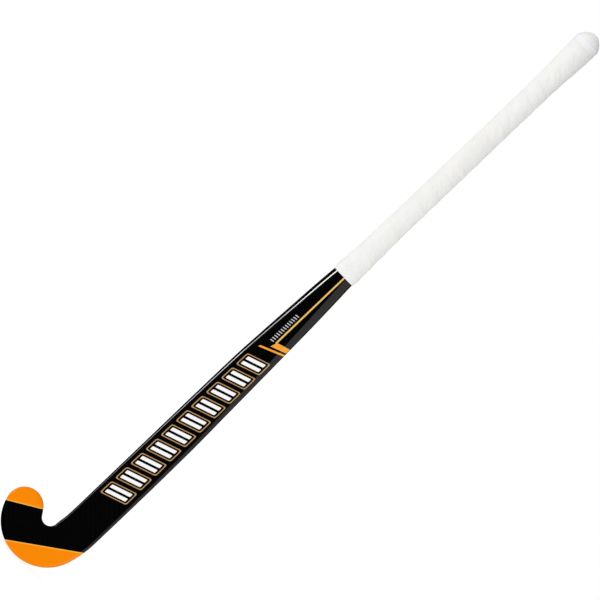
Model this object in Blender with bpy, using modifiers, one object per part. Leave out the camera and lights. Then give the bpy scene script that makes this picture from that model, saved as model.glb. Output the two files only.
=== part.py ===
"""A field hockey stick, built the way a moulded composite stick is built.

A laminate shell holds a foam head core between two reinforcing plies, and above it two laminate chambers side by
side with foam in them. A plug, a flared collar and a domed cap finish the butt, and a cushioned wrap over a base
tape makes the grip.

Lengths are in metres. The stick is drawn straight, in coordinates of its own: x across the playing face with the
toe at -x and the heel side at +x, y through the thickness with the playing face at -y, and s along the stick from
the lowest point of the head. bend() lays those coordinates along the bowed centreline. In the result the origin is
on the handle's axis at the middle of the grip, and +Z runs along the chord from the head to the butt.
"""

import math

import bmesh
import bpy
from mathutils import Vector

# The whole stick
LENGTH = 0.927
GRIP_CENTRE = 0.715
BOW_HEIGHT = 0.020
BOW_START = 0.100
BOW_END = 0.520

# The head's outline: arcs that run into each other, from the heel side round the sole and the toe to the throat
HEEL_START = 0.0787
HEEL_HALF_WIDTH = 0.0249
HEEL_RADIUS = 0.1459
HEEL_TURN = math.radians(14.75)
HEAD_RADIUS = 0.0558
TOE_RADIUS = 0.0229
TOE_START = math.radians(193.6)
TOE_END = math.radians(36.6)
THROAT_RADIUS = 0.0101
THROAT_STRAIGHT = 0.0086

# Sections up the shaft: s, toe-side half width, heel-side half width, front depth, back depth, and the width and
# depth of the rounding between the playing face and each side
SHAFT = (
    (0.0608, 0.02413, 0.02490, 0.0100, 0.0105, 0.0040, 0.0040),
    (0.0787, 0.02250, 0.02490, 0.0101, 0.0107, 0.0041, 0.0041),
    (0.1000, 0.02220, 0.02500, 0.0102, 0.0109, 0.0043, 0.0043),
    (0.1600, 0.02215, 0.02515, 0.0104, 0.0111, 0.0048, 0.0048),
    (0.2300, 0.02220, 0.02465, 0.0107, 0.0114, 0.0056, 0.0055),
    (0.3000, 0.02220, 0.02260, 0.0110, 0.0118, 0.0065, 0.0064),
    (0.3500, 0.02200, 0.02105, 0.0113, 0.0121, 0.0074, 0.0072),
    (0.4000, 0.02040, 0.01935, 0.0117, 0.0124, 0.0088, 0.0083),
    (0.4500, 0.01830, 0.01750, 0.0121, 0.0126, 0.0106, 0.0098),
    (0.4850, 0.01680, 0.01580, 0.0124, 0.0127, 0.0116, 0.0109),
    (0.5110, 0.01525, 0.01435, 0.0126, 0.0127, 0.0119, 0.0117),
    (0.5260, 0.01430, 0.01380, 0.0126, 0.0126, 0.0118, 0.0119),
    (0.5500, 0.01300, 0.01290, 0.0126, 0.0126, 0.0117, 0.0121),
    (0.5800, 0.01220, 0.01220, 0.0126, 0.0126, 0.0116, 0.0123),
    (0.6100, 0.01185, 0.01185, 0.0126, 0.0126, 0.0116, 0.0124),
    (0.9050, 0.01185, 0.01185, 0.0126, 0.0126, 0.0116, 0.0124),
)
TOE_BACK_DEPTH = 0.0090

# Walls and clearances
GAP = 0.0003
SHELL_WALL = 0.0020
CHAMBER_WALL = 0.0010
PLY = 0.0008
PLY_MARGIN = 0.16
PLY_TOE_SHARE = 0.93
LEAST_CORNER = 0.0004

# Heights along the stick
SHELL_TOP = 0.905
CORE_TOP = 0.097
CHAMBER_BOTTOM = CORE_TOP + GAP
CHAMBER_TOP = 0.860
SHAFT_FOAM_TOP = 0.485
HANDLE_FOAM_BOTTOM = 0.780
PLY_TOP = 0.094
PLUG_BOTTOM = CHAMBER_TOP + GAP
PLUG_SOCKET_DEPTH = 0.022
PLUG_SOCKET_RADIUS = 0.0053
SPIGOT_LENGTH = 0.0195
GRIP_BOTTOM = 0.5124
GRIP_TOP = 0.9045
WRAP_SETTLED = 0.540
END_TAPE_BOTTOM = 0.5118
END_TAPE_TOP = 0.5238
BASE_TAPE_TOP = 0.8565
COLLAR_BOTTOM = BASE_TAPE_TOP + GAP

# The layers on the handle, outwards from the shell
BASE_TAPE = 0.0004
WRAP = 0.0011
END_TAPE = 0.00025
WRAP_INSET = GAP + BASE_TAPE + GAP
FLARE = (
    (0.800, 0.0, 0.0),
    (0.842, 0.00020, 0.00015),
    (0.855, 0.00060, 0.00040),
    (0.868, 0.00115, 0.00080),
    (0.878, 0.00175, 0.00125),
    (0.892, 0.00235, 0.00165),
    (0.9045, 0.00245, 0.00170),
)

# The domed cap
CAP_RADIUS = 0.0164
CAP_SKIRT = 0.0080
CAP_EDGE = 0.0008
CAP_BEAD = 0.0003
CAP_BEAD_HEIGHT = 0.0010
CAP_FLAT = 0.0035
DOME_FOOT = 0.0060
DOME_FULLNESS = 1.7
SPIGOT_RADIUS = 0.0050

# How finely the lofts are cut
CORNER_STEPS = 3
BACK_STEPS = 5
FAN_STEPS = 14
STRAIGHT_STEPS = 1
TOE_STEPS = 7
TOE_LAST_ANGLE = math.radians(84)
SHAFT_CUTS = (
    0.0608, 0.0720, 0.0840, 0.0970, 0.1300, 0.1700, 0.2150, 0.2600, 0.3000, 0.3350, 0.3700, 0.4050,
    0.4450, 0.4850, 0.5110, 0.5260, 0.5500, 0.5800, 0.6100, 0.7000, 0.7800, 0.8600, 0.9050,
)
GRIP_CUTS = (
    0.5160, 0.5260, 0.5400, 0.5500, 0.5650, 0.5800, 0.6100, 0.7000, 0.8000, 0.8420, 0.8550, 0.8680, 0.8780, 0.8920,
)
TURN_STEPS = 28
DOME_STEPS = 8
PLY_COLUMNS = 8

COLOURS = {
    "lacquer": ((0.012, 0.012, 0.013), 0.12, 0.0),
    "laminate": ((0.03, 0.03, 0.035), 0.45, 0.0),
    "aramid": ((0.72, 0.55, 0.16), 0.60, 0.0),
    "foam": ((0.85, 0.74, 0.48), 0.90, 0.0),
    "plug": ((0.10, 0.10, 0.11), 0.50, 0.0),
    "collar": ((0.30, 0.30, 0.31), 0.80, 0.0),
    "cap": ((0.83, 0.83, 0.84), 0.45, 0.0),
    "base_tape": ((0.70, 0.62, 0.45), 0.80, 0.0),
    "grip": ((0.88, 0.88, 0.86), 0.60, 0.0),
    "end_tape": ((0.92, 0.92, 0.92), 0.50, 0.0),
}


# ---------------------------------------------------------------- curves and interpolation

def blend(rows, s):
    """The row of a table at s, on a smooth curve through its rows that doesn't overshoot them."""
    if s <= rows[0][0]:
        return rows[0][1:]
    if s >= rows[-1][0]:
        return rows[-1][1:]
    k = max(i for i in range(len(rows) - 1) if rows[i][0] <= s)
    span = rows[k + 1][0] - rows[k][0]
    t = (s - rows[k][0]) / span
    found = []
    for column in range(1, len(rows[0])):
        low = rows[k][column]
        high = rows[k + 1][column]
        start = slope_at(rows, k, column) * span
        end = slope_at(rows, k + 1, column) * span
        found.append(
            low * (1 + 2 * t) * (1 - t) ** 2
            + start * t * (1 - t) ** 2
            + high * t * t * (3 - 2 * t)
            - end * t * t * (1 - t)
        )
    return tuple(found)


def slope_at(rows, k, column):
    """The curve's slope at row k: none at the ends or where the column turns back."""
    if k in (0, len(rows) - 1):
        return 0.0
    before = (rows[k][column] - rows[k - 1][column]) / (rows[k][0] - rows[k - 1][0])
    after = (rows[k + 1][column] - rows[k][column]) / (rows[k + 1][0] - rows[k][0])
    if before * after <= 0:
        return 0.0
    return 2 * before * after / (before + after)


def direction(angle):
    return Vector((math.cos(angle), math.sin(angle)))


# ---------------------------------------------------------------- the bowed centreline

def bow():
    """The centreline's curvature and its lean at the head, for a chord that is upright."""
    curved = BOW_END - BOW_START
    above = LENGTH - BOW_END
    reach = curved * (curved / 2 + above) / LENGTH
    curvature = BOW_HEIGHT / (reach * BOW_START + reach * reach / 2)
    return curvature, curvature * reach


CURVATURE, HEAD_LEAN = bow()


def centreline(s):
    """Where the centreline is at s, as y and z above the foot of the chord, and how far it leans towards +y."""
    along = min(s, BOW_START)
    y = along * math.sin(HEAD_LEAN)
    z = along * math.cos(HEAD_LEAN)
    lean = HEAD_LEAN
    if s > BOW_START:
        curved = min(s, BOW_END) - BOW_START
        lean = HEAD_LEAN - CURVATURE * curved
        y += (math.cos(lean) - math.cos(HEAD_LEAN)) / CURVATURE
        z += (math.sin(HEAD_LEAN) - math.sin(lean)) / CURVATURE
    if s > BOW_END:
        y += (s - BOW_END) * math.sin(lean)
        z += (s - BOW_END) * math.cos(lean)
    return y, z, lean


ORIGIN_Y, ORIGIN_Z, HANDLE_LEAN = centreline(GRIP_CENTRE)


def bend(x, y, s):
    """The point of the finished stick for a point of the straight one."""
    centre_y, centre_z, lean = centreline(s)
    return Vector((
        x,
        centre_y - ORIGIN_Y + y * math.cos(lean),
        centre_z - ORIGIN_Z - y * math.sin(lean),
    ))


# ---------------------------------------------------------------- the head's outline

HEEL_CENTRE = Vector((HEEL_HALF_WIDTH - HEEL_RADIUS, HEEL_START))
HEAD_CENTRE = HEEL_CENTRE + (HEEL_RADIUS - HEAD_RADIUS) * direction(-HEEL_TURN)
TOE_CENTRE = HEAD_CENTRE + (HEAD_RADIUS - TOE_RADIUS) * direction(TOE_START)
FAN_END = TOE_END - math.pi
TOE_AXIS = direction(FAN_END - math.pi / 2)
THROAT_CENTRE = TOE_CENTRE + (TOE_RADIUS + THROAT_RADIUS) * direction(TOE_END) - THROAT_STRAIGHT * TOE_AXIS
OUTER_ARCS = (
    (HEEL_CENTRE, HEEL_RADIUS, -HEEL_TURN, 0.0),
    (HEAD_CENTRE, HEAD_RADIUS, TOE_START - 2 * math.pi, -HEEL_TURN),
    (TOE_CENTRE, TOE_RADIUS, TOE_END - 2 * math.pi, TOE_START - 2 * math.pi),
)


def outer_edge(start, heading, inset):
    """Where a line from inside the head meets the outline's heel, sole or toe, moved in by inset."""
    reached = 0.0
    for centre, radius, low, high in OUTER_ARCS:
        offset = start - centre
        along = offset.dot(heading)
        under = along * along - offset.length_squared + (radius - inset) ** 2
        if under < 0:
            continue
        reach = math.sqrt(under) - along
        hit = start + reach * heading - centre
        angle = math.atan2(hit.y, hit.x)
        turned = angle if angle <= 0 else angle - 2 * math.pi
        if low - 1e-6 <= turned <= high + 1e-6:
            reached = max(reached, reach)
    return start + reached * heading


# ---------------------------------------------------------------- stations: one cross-section line each

class Station:
    """A line across the stick from its toe-side edge to its heel-side edge, with the depths that go with it."""

    def __init__(self, near, far, depths, inset, full_width=None, at_toe=False):
        front, back, corner_width, corner_depth = depths
        self.near = near
        self.far = far
        self.front = front - inset
        self.back = back - inset
        self.edge = corner_depth - front
        self.corner_width = max(corner_width - inset, LEAST_CORNER)
        self.corner_depth = self.edge + self.front
        self.inset = inset
        self.width = (far - near).length
        self.full_width = full_width or self.width
        self.at_toe = at_toe

    def depth_from_edge(self, share):
        """How far a point at this share of the width is from the outline."""
        nearest = min(share, 1 - share) * self.width
        if self.at_toe:
            point = self.near + share * (self.far - self.near)
            nearest = min(nearest, TOE_RADIUS - self.inset - (point - TOE_CENTRE).length)
        return max(nearest, 0.0)

    def point(self, share, on_back):
        """The surface at a share of the width, on the playing face's side or on the back."""
        from_edge = self.depth_from_edge(share)
        if on_back:
            left = 1 - min(from_edge / (self.full_width / 2), 1)
            y = self.edge + (self.back - self.edge) * math.sqrt(1 - left * left)
        else:
            left = 1 - min(from_edge / self.corner_width, 1)
            y = self.edge - self.corner_depth * math.sqrt(1 - left * left)
        place = self.near + share * (self.far - self.near)
        return bend(place.x, y, place.y)


def shaft_station(s, inset, across=None, through=None):
    """A level section at s. across and through are insets of their own for the width and the depth."""
    toe, heel, front, back, corner_width, corner_depth = blend(SHAFT, s)
    across = inset if across is None else across
    through = inset if through is None else through
    near = Vector((across - toe, s))
    far = Vector((heel - across, s))
    if s < HEEL_START:
        far = outer_edge(Vector((0.0, s)), direction(0.0), across)
    station = Station(near, far, (front, back, corner_width, corner_depth), through)
    station.corner_width = max(corner_width - across, LEAST_CORNER)
    return station


def head_depths(share):
    """The section's depths a share of the way from the throat to the toe."""
    _, _, front, back, corner_width, corner_depth = SHAFT[0][1:]
    return front, back + share * (TOE_BACK_DEPTH - back), corner_width, corner_depth


def head_stations(inset):
    """Sections from the toe's tip round the throat to the foot of the shaft."""
    found = []
    last_centre = THROAT_CENTRE + THROAT_STRAIGHT * TOE_AXIS
    toe_foot = last_centre + (THROAT_RADIUS + inset) * direction(FAN_END)
    full_width = (outer_edge(TOE_CENTRE, direction(FAN_END), inset) - toe_foot).length
    for step in range(TOE_STEPS, 0, -1):
        angle = TOE_LAST_ANGLE * step / TOE_STEPS
        middle = TOE_CENTRE + (TOE_RADIUS - inset) * math.sin(angle) * TOE_AXIS
        near = middle + (TOE_RADIUS - inset) * math.cos(angle) * direction(TOE_END)
        far = outer_edge(middle, direction(FAN_END), inset)
        found.append(Station(near, far, head_depths(1.0), inset, full_width, True))
    for step in range(STRAIGHT_STEPS, 0, -1):
        share = step / STRAIGHT_STEPS
        centre = THROAT_CENTRE + share * THROAT_STRAIGHT * TOE_AXIS
        near = centre + (THROAT_RADIUS + inset) * direction(FAN_END)
        found.append(Station(near, outer_edge(near, direction(FAN_END), inset), head_depths(1.0), inset))
    for step in range(FAN_STEPS, 0, -1):
        share = step / FAN_STEPS
        heading = direction(FAN_END * share)
        near = THROAT_CENTRE + (THROAT_RADIUS + inset) * heading
        found.append(Station(near, outer_edge(near, heading, inset), head_depths(share), inset))
    return found


def cuts_between(low, high, cuts=SHAFT_CUTS):
    """The heights at which a piece from low to high is cut across."""
    inside = [s for s in cuts if low + 0.0005 < s < high - 0.0005]
    return [low] + inside + [high]


# ---------------------------------------------------------------- rings of points round a section

def shares_across(station):
    """Shares of the width for the front, from the toe side to the heel side, and for the back the other way."""
    corner = station.corner_width / station.full_width
    front = []
    for step in range(CORNER_STEPS + 1):
        front.append(corner * (1 - math.cos(math.pi / 2 * step / CORNER_STEPS)))
    front += [0.5] + [1 - share for share in reversed(front)]
    back = [0.5 + 0.5 * math.cos(math.pi * step / (2 * BACK_STEPS)) for step in range(1, 2 * BACK_STEPS)]
    return front, back


def full_ring(station):
    front, back = shares_across(station)
    ring = [station.point(share, False) for share in front]
    return ring + [station.point(share, True) for share in back]


def half_ring(station, side, rib):
    """A ring round the toe-side half (side 0) or the heel-side half (side 1), short of the middle by rib."""
    limit = 0.5 - rib / station.width
    corner = min(station.corner_width / station.width, 0.9 * limit)
    low = [corner * (1 - math.cos(math.pi / 2 * step / CORNER_STEPS)) for step in range(CORNER_STEPS + 1)]
    high = [limit * (1 - math.cos(math.pi / 2 * step / BACK_STEPS)) for step in range(BACK_STEPS, 0, -1)]
    low.append(limit)
    if side:
        low = [1 - share for share in low]
        high = [1 - share for share in high]
    return [station.point(share, False) for share in low] + [station.point(share, True) for share in high]


def layer_ring(s, offset):
    """A ring round the handle at s, offset outwards from the shell, with the butt's flare."""
    extra_width, extra_depth = blend(FLARE, s)
    return full_ring(shaft_station(s, 0.0, -offset - extra_width, -offset - extra_depth))


# ---------------------------------------------------------------- meshes and objects

def material(name):
    colour, roughness, metallic = COLOURS[name]
    made = bpy.data.materials.new(name)
    made.use_nodes = True
    surface = made.node_tree.nodes["Principled BSDF"]
    surface.inputs["Base Color"].default_value = (*colour, 1.0)
    surface.inputs["Roughness"].default_value = roughness
    surface.inputs["Metallic"].default_value = metallic
    made.diffuse_color = (*colour, 1.0)
    return made


def add_object(name, mesh, slot, collection):
    made = bpy.data.objects.new(name, mesh)
    collection.objects.link(made)
    mesh.materials.append(slot)
    mesh.shade_smooth()
    mesh.set_sharp_from_angle(angle=math.radians(40))
    return made


def lofted(name, rings, close_first=False, close_last=False):
    """A mesh whose surface runs through the rings in turn, closed or open at either end."""
    shape = bmesh.new()
    rows = [[shape.verts.new(point) for point in ring] for ring in rings]
    for lower, upper in zip(rows, rows[1:]):
        for k in range(len(lower)):
            after = (k + 1) % len(lower)
            shape.faces.new((lower[k], lower[after], upper[after], upper[k]))
    if close_first:
        shape.faces.new(rows[0])
    if close_last:
        shape.faces.new(rows[-1])
    bmesh.ops.recalc_face_normals(shape, faces=shape.faces)
    mesh = bpy.data.meshes.new(name)
    shape.to_mesh(mesh)
    shape.free()
    return mesh


def draped(name, rows):
    """An open sheet through rows of points."""
    shape = bmesh.new()
    grid = [[shape.verts.new(point) for point in row] for row in rows]
    for lower, upper in zip(grid, grid[1:]):
        for k in range(len(lower) - 1):
            shape.faces.new((lower[k], lower[k + 1], upper[k + 1], upper[k]))
    bmesh.ops.recalc_face_normals(shape, faces=shape.faces)
    mesh = bpy.data.meshes.new(name)
    shape.to_mesh(mesh)
    shape.free()
    return mesh


def thicken(made, thickness, outwards):
    """Gives an open surface a wall on its outer (+1) or inner (-1) side."""
    wall = made.modifiers.new("Wall", "SOLIDIFY")
    wall.thickness = thickness
    wall.offset = outwards
    wall.use_even_offset = True
    wall.use_rim = True
    return made


def turned(name, profile, slot, collection, s):
    """A turned piece: a profile of (radius, height) pairs, from top to bottom, spun round the handle's axis at s."""
    mesh = bpy.data.meshes.new(name)
    points = [(radius, 0.0, height) for radius, height in profile]
    mesh.from_pydata(points, [(k, k + 1) for k in range(len(points) - 1)], [])
    made = bpy.data.objects.new(name, mesh)
    collection.objects.link(made)
    mesh.materials.append(slot)
    spin = made.modifiers.new("Turn", "SCREW")
    spin.steps = TURN_STEPS
    spin.render_steps = TURN_STEPS
    spin.use_merge_vertices = True
    spin.merge_threshold = 0.00001
    spin.use_smooth_shade = True
    made.location = bend(0.0, 0.0, s)
    made.rotation_euler = (-HANDLE_LEAN, 0.0, 0.0)
    return made


# ---------------------------------------------------------------- the pieces

def laminate_shell(parts):
    """The moulded outer skin, closed round the toe and open at the butt."""
    rings = [full_ring(station) for station in head_stations(0.0)]
    rings += [full_ring(shaft_station(s, 0.0)) for s in SHAFT_CUTS]
    mesh = lofted("laminate_shell", rings, close_first=True)
    thicken(add_object("laminate_shell", mesh, material("lacquer"), parts), SHELL_WALL, -1)


def head_core(parts):
    """The moulded foam that fills the head, with room round it for the reinforcing plies."""
    inset = SHELL_WALL + GAP + PLY + GAP
    rings = [full_ring(station) for station in head_stations(inset)]
    rings += [full_ring(shaft_station(s, inset)) for s in cuts_between(SHAFT_CUTS[0], CORE_TOP)]
    add_object("head_core", lofted("head_core", rings, True, True), material("foam"), parts)


def reinforcing_ply(parts, name, on_back):
    """A thin stiff ply between the head core and the shell, round the hook from the toe to the shaft."""
    inset = SHELL_WALL + GAP + PLY / 2
    stations = [station for station in head_stations(inset) if station.width > PLY_TOE_SHARE * station.full_width]
    stations += [shaft_station(s, inset) for s in cuts_between(SHAFT_CUTS[0], PLY_TOP)]
    rows = []
    for station in stations:
        shares = [PLY_MARGIN + (1 - 2 * PLY_MARGIN) * k / PLY_COLUMNS for k in range(PLY_COLUMNS + 1)]
        rows.append([station.point(share, on_back) for share in shares])
    made = add_object(name, draped(name, rows), material("aramid"), parts)
    thicken(made, PLY, 0)


def chamber(parts, name, side):
    """One of the two laminate tubes that run side by side up the shaft."""
    inset = SHELL_WALL + GAP
    stations = [shaft_station(s, inset) for s in cuts_between(CHAMBER_BOTTOM, CHAMBER_TOP)]
    rings = [half_ring(station, side, GAP / 2) for station in stations]
    thicken(add_object(name, lofted(name, rings), material("laminate"), parts), CHAMBER_WALL, -1)


def chamber_foam(parts, name, side, low, high):
    """Foam inside one chamber from low to high."""
    inset = SHELL_WALL + GAP + CHAMBER_WALL + GAP
    rib = GAP / 2 + CHAMBER_WALL + GAP
    stations = [shaft_station(s, inset) for s in cuts_between(low, high)]
    rings = [half_ring(station, side, rib) for station in stations]
    add_object(name, lofted(name, rings, True, True), material("foam"), parts)


def butt_plug(parts, cutters):
    """The plug that closes the shell's open end, with a blind socket for the cap's spigot."""
    inset = SHELL_WALL + GAP
    rings = [full_ring(shaft_station(s, inset)) for s in cuts_between(PLUG_BOTTOM, SHELL_TOP)]
    plug = add_object("butt_plug", lofted("butt_plug", rings, True, True), material("plug"), parts)
    bpy.ops.mesh.primitive_cylinder_add(vertices=TURN_STEPS, radius=PLUG_SOCKET_RADIUS, depth=2 * PLUG_SOCKET_DEPTH)
    drill = bpy.context.object
    drill.name = "socket_drill"
    drill.location = bend(0.0, 0.0, SHELL_TOP)
    drill.rotation_euler = (-HANDLE_LEAN, 0.0, 0.0)
    drill.hide_render = True
    drill.display_type = "WIRE"
    for held in list(drill.users_collection):
        held.objects.unlink(drill)
    cutters.objects.link(drill)
    bore = plug.modifiers.new("Socket", "BOOLEAN")
    bore.operation = "DIFFERENCE"
    bore.object = drill


def end_cap(parts):
    """The domed cap: a spigot in the plug, a skirt as wide as the flared grip, a bead and a dome."""
    foot = SHELL_TOP + GAP
    top = LENGTH - foot
    rise = top - DOME_FOOT
    lowest = math.asin((CAP_SKIRT + CAP_BEAD_HEIGHT - DOME_FOOT) / rise)
    profile = [(0.0, top)]
    for step in range(DOME_STEPS + 1):
        angle = math.pi / 2 + (lowest - math.pi / 2) * step / DOME_STEPS
        radius = CAP_FLAT + (CAP_RADIUS - CAP_FLAT) * max(math.cos(angle), 0.0) ** DOME_FULLNESS
        profile.append((radius, DOME_FOOT + rise * math.sin(angle)))
    profile += [
        (CAP_RADIUS + CAP_BEAD, CAP_SKIRT + CAP_BEAD_HEIGHT / 2),
        (CAP_RADIUS + CAP_BEAD, CAP_SKIRT - CAP_BEAD_HEIGHT / 2),
        (CAP_RADIUS, CAP_SKIRT - CAP_BEAD_HEIGHT),
        (CAP_RADIUS, CAP_EDGE),
        (CAP_RADIUS - CAP_EDGE, 0.0),
        (SPIGOT_RADIUS, 0.0),
        (SPIGOT_RADIUS, -SPIGOT_LENGTH + CAP_EDGE),
        (SPIGOT_RADIUS - CAP_EDGE, -SPIGOT_LENGTH),
        (0.0, -SPIGOT_LENGTH),
    ]
    turned("end_cap", profile, material("cap"), parts, foot)


def butt_collar(parts):
    """The soft ring under the wrap that flares the grip out towards the cap."""
    heights = cuts_between(COLLAR_BOTTOM, GRIP_TOP, GRIP_CUTS)
    outer = [layer_ring(s, WRAP_INSET - GAP) for s in heights]
    inner = [full_ring(shaft_station(s, -GAP)) for s in reversed(heights)]
    rings = outer + inner + [outer[0]]
    mesh = lofted("butt_collar", rings)
    add_object("butt_collar", welded(mesh), material("collar"), parts)


def welded(mesh):
    """The mesh with the points that lie on each other made one."""
    shape = bmesh.new()
    shape.from_mesh(mesh)
    bmesh.ops.remove_doubles(shape, verts=shape.verts, dist=0.00001)
    bmesh.ops.recalc_face_normals(shape, faces=shape.faces)
    shape.to_mesh(mesh)
    shape.free()
    return mesh


def wrap_offset(s):
    """How far the wrap's inner side stands off the shell: closer at its foot, where no base tape lies under it."""
    share = min(max((s - GRIP_BOTTOM) / (WRAP_SETTLED - GRIP_BOTTOM), 0.0), 1.0)
    return GAP + (WRAP_INSET - GAP) * share


def grip_base_tape(parts):
    """The thin adhesive tape that the wrap is wound on."""
    rings = [layer_ring(s, GAP) for s in cuts_between(WRAP_SETTLED, BASE_TAPE_TOP, GRIP_CUTS)]
    mesh = lofted("grip_base_tape", rings)
    thicken(add_object("grip_base_tape", mesh, material("base_tape"), parts), BASE_TAPE, 1)


def grip_wrap(parts):
    """The cushioned tape wound up the handle, as one sleeve."""
    rings = [layer_ring(s, wrap_offset(s)) for s in cuts_between(GRIP_BOTTOM, GRIP_TOP, GRIP_CUTS)]
    mesh = lofted("grip_wrap", rings)
    thicken(add_object("grip_wrap", mesh, material("grip"), parts), WRAP, 1)


def grip_end_tape(parts):
    """The narrow tape that holds the wrap's lower end."""
    heights = cuts_between(END_TAPE_BOTTOM, END_TAPE_TOP, GRIP_CUTS)
    rings = [layer_ring(s, wrap_offset(s) + WRAP + GAP) for s in heights]
    mesh = lofted("grip_end_tape", rings)
    thicken(add_object("grip_end_tape", mesh, material("end_tape"), parts), END_TAPE, 1)


def main():
    for held in list(bpy.data.objects):
        bpy.data.objects.remove(held, do_unlink=True)
    parts = bpy.data.collections.new("field_hockey_stick")
    cutters = bpy.data.collections.new("cutters")
    bpy.context.scene.collection.children.link(parts)
    bpy.context.scene.collection.children.link(cutters)
    laminate_shell(parts)
    head_core(parts)
    reinforcing_ply(parts, "face_reinforcement", False)
    reinforcing_ply(parts, "back_reinforcement", True)
    for side, name in enumerate(("toe_side", "heel_side")):
        chamber(parts, name + "_chamber", side)
        chamber_foam(parts, name + "_shaft_foam", side, CHAMBER_BOTTOM, SHAFT_FOAM_TOP)
        chamber_foam(parts, name + "_handle_foam", side, HANDLE_FOAM_BOTTOM, CHAMBER_TOP)
    butt_plug(parts, cutters)
    butt_collar(parts)
    end_cap(parts)
    grip_base_tape(parts)
    grip_wrap(parts)
    grip_end_tape(parts)


main()
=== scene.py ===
"""The looks of the field hockey stick: a lacquered shell with colour panels, a wound grip, a tape and a cap.

Lengths are in metres. The shell, the grip, the tape and the cap are made again here from the CAD part's own
formulas, with finer steps and with the relief that the CAD leaves out. The pieces inside stay the CAD's own.
"""

import math

import bmesh
import bpy
from mathutils import Matrix, Vector, noise


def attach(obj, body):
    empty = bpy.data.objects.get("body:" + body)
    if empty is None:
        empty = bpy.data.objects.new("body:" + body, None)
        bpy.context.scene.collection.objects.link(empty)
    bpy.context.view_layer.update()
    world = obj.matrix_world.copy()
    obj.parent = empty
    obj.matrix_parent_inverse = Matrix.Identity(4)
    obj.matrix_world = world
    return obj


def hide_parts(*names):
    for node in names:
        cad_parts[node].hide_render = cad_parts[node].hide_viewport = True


# The CAD part's own constants
LENGTH = 0.927
GRIP_CENTRE = 0.715
BOW_HEIGHT = 0.020
BOW_START = 0.100
BOW_END = 0.520
HEEL_START = 0.0787
HEEL_HALF_WIDTH = 0.0249
HEEL_RADIUS = 0.1459
HEEL_TURN = math.radians(14.75)
HEAD_RADIUS = 0.0558
TOE_RADIUS = 0.0229
TOE_START = math.radians(193.6)
TOE_END = math.radians(36.6)
THROAT_RADIUS = 0.0101
THROAT_STRAIGHT = 0.0086
SHAFT = (
    (0.0608, 0.02413, 0.02490, 0.0100, 0.0105, 0.0040, 0.0040),
    (0.0787, 0.02250, 0.02490, 0.0101, 0.0107, 0.0041, 0.0041),
    (0.1000, 0.02220, 0.02500, 0.0102, 0.0109, 0.0043, 0.0043),
    (0.1600, 0.02215, 0.02515, 0.0104, 0.0111, 0.0048, 0.0048),
    (0.2300, 0.02220, 0.02465, 0.0107, 0.0114, 0.0056, 0.0055),
    (0.3000, 0.02220, 0.02260, 0.0110, 0.0118, 0.0065, 0.0064),
    (0.3500, 0.02200, 0.02105, 0.0113, 0.0121, 0.0074, 0.0072),
    (0.4000, 0.02040, 0.01935, 0.0117, 0.0124, 0.0088, 0.0083),
    (0.4500, 0.01830, 0.01750, 0.0121, 0.0126, 0.0106, 0.0098),
    (0.4850, 0.01680, 0.01580, 0.0124, 0.0127, 0.0116, 0.0109),
    (0.5110, 0.01525, 0.01435, 0.0126, 0.0127, 0.0119, 0.0117),
    (0.5260, 0.01430, 0.01380, 0.0126, 0.0126, 0.0118, 0.0119),
    (0.5500, 0.01300, 0.01290, 0.0126, 0.0126, 0.0117, 0.0121),
    (0.5800, 0.01220, 0.01220, 0.0126, 0.0126, 0.0116, 0.0123),
    (0.6100, 0.01185, 0.01185, 0.0126, 0.0126, 0.0116, 0.0124),
    (0.9050, 0.01185, 0.01185, 0.0126, 0.0126, 0.0116, 0.0124),
)
TOE_BACK_DEPTH = 0.0090
GAP = 0.0003
SHELL_WALL = 0.0020
LEAST_CORNER = 0.0004
SHELL_TOP = 0.905
GRIP_BOTTOM = 0.5124
WRAP_SETTLED = 0.540
END_TAPE_BOTTOM = 0.5118
END_TAPE_TOP = 0.5238
BASE_TAPE = 0.0004
WRAP = 0.0011
WRAP_FOOT = 0.3
WRAP_FOOT_LENGTH = 0.008
END_TAPE = 0.00025
WRAP_INSET = GAP + BASE_TAPE + GAP
FLARE = (
    (0.800, 0.0, 0.0),
    (0.842, 0.00020, 0.00015),
    (0.855, 0.00060, 0.00040),
    (0.868, 0.00115, 0.00080),
    (0.878, 0.00175, 0.00125),
    (0.892, 0.00235, 0.00165),
    (0.9045, 0.00245, 0.00170),
)
CAP_RADIUS = 0.0164
CAP_SKIRT = 0.0080
CAP_FLAT = 0.0035
DOME_FOOT = 0.0060
DOME_FULLNESS = 1.7
SPIGOT_RADIUS = 0.0050
SPIGOT_LENGTH = 0.0195

# How finely the pieces are cut here, and how sharp an edge has to be to stay sharp
CORNER_STEPS = 9
FLAT_STEPS = 8
BACK_STEPS = 40
TOE_STEPS = 26
TOE_LAST_ANGLE = math.radians(88)
STRAIGHT_STEPS = 3
FAN_STEPS = 44
SHAFT_STEP = 0.0042
INNER_STEP = 0.020
LINING_STEP = 0.006
TAPE_STEP = 0.0004
CAP_STEPS = 72
WELD_DISTANCE = 0.000004
SHARP_ANGLE = math.radians(42)

# The cap: the height z where the dome's warmer tone begins, its bead, its skirt, and its grooves as angles
DOME_TONE_START = 0.2004
DOME_TONE_SHARPNESS = 1000.0
BEAD = 0.0003
BEAD_HALF_HEIGHT = 0.0010
BEAD_STEPS = 12
SKIRT_ROWS = (0.0045, 0.0020, 0.0008)
EDGE_RADIUS = 0.00014
EDGE_STEPS = 6
SPIGOT_FILLET = 0.0004
SPIGOT_CHAMFER = 0.0008
DIMPLE_RADIUS = 0.0011
DIMPLE_DEPTH = 0.00012
DOME_STEPS = 66
GROOVES = (math.radians(16.3), math.radians(32.3), math.radians(51))
GROOVE_HALF_WIDTH = math.radians(4)
GROOVE_DEPTH = 0.00034

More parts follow.
